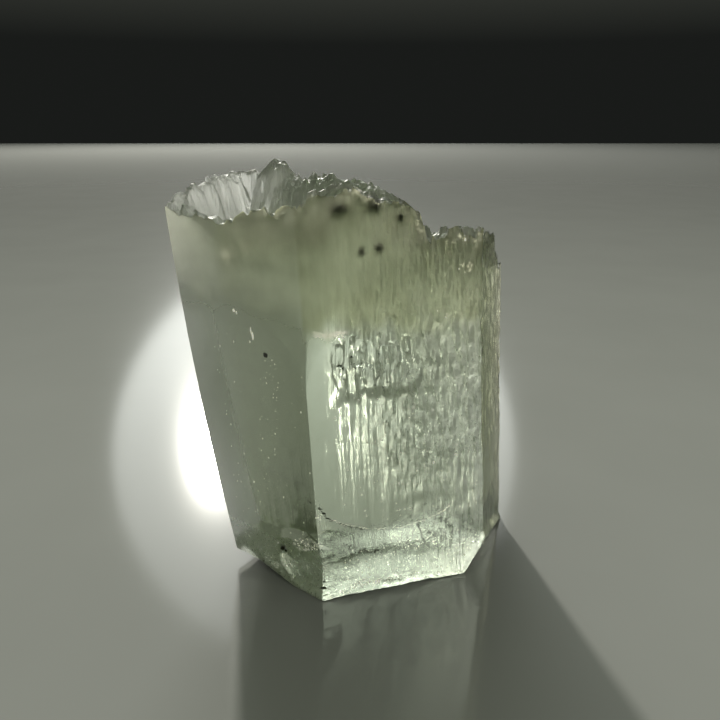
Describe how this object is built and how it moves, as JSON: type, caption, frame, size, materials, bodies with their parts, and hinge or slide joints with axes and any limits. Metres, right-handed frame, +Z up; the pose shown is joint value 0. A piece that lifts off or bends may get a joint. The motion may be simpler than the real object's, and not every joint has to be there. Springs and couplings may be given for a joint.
{
  "type": "beryl crystal",
  "caption": "Loose beryl crystal: a clear, pale olive-green leaning hexagonal prism with smooth front faces, etched columns on top and a flat foot broken upwards at its borders.",
  "frame": {"origin": "bottom centre of the bounding box, on the ground that the foot stands on", "axes": "+Z up and roughly along the crystal's length, +X right and +Y back as seen by someone facing the edge between its two smooth faces"},
  "size_m": [0.0222, 0.018, 0.0271],
  "materials": {
    "beryl": "clear pale olive-green beryl, smooth on the front faces, finely striated and etched on the right and on top"
  },
  "bodies": {
    "root": {"crystal": "beryl"}
  },
  "joints": []
}
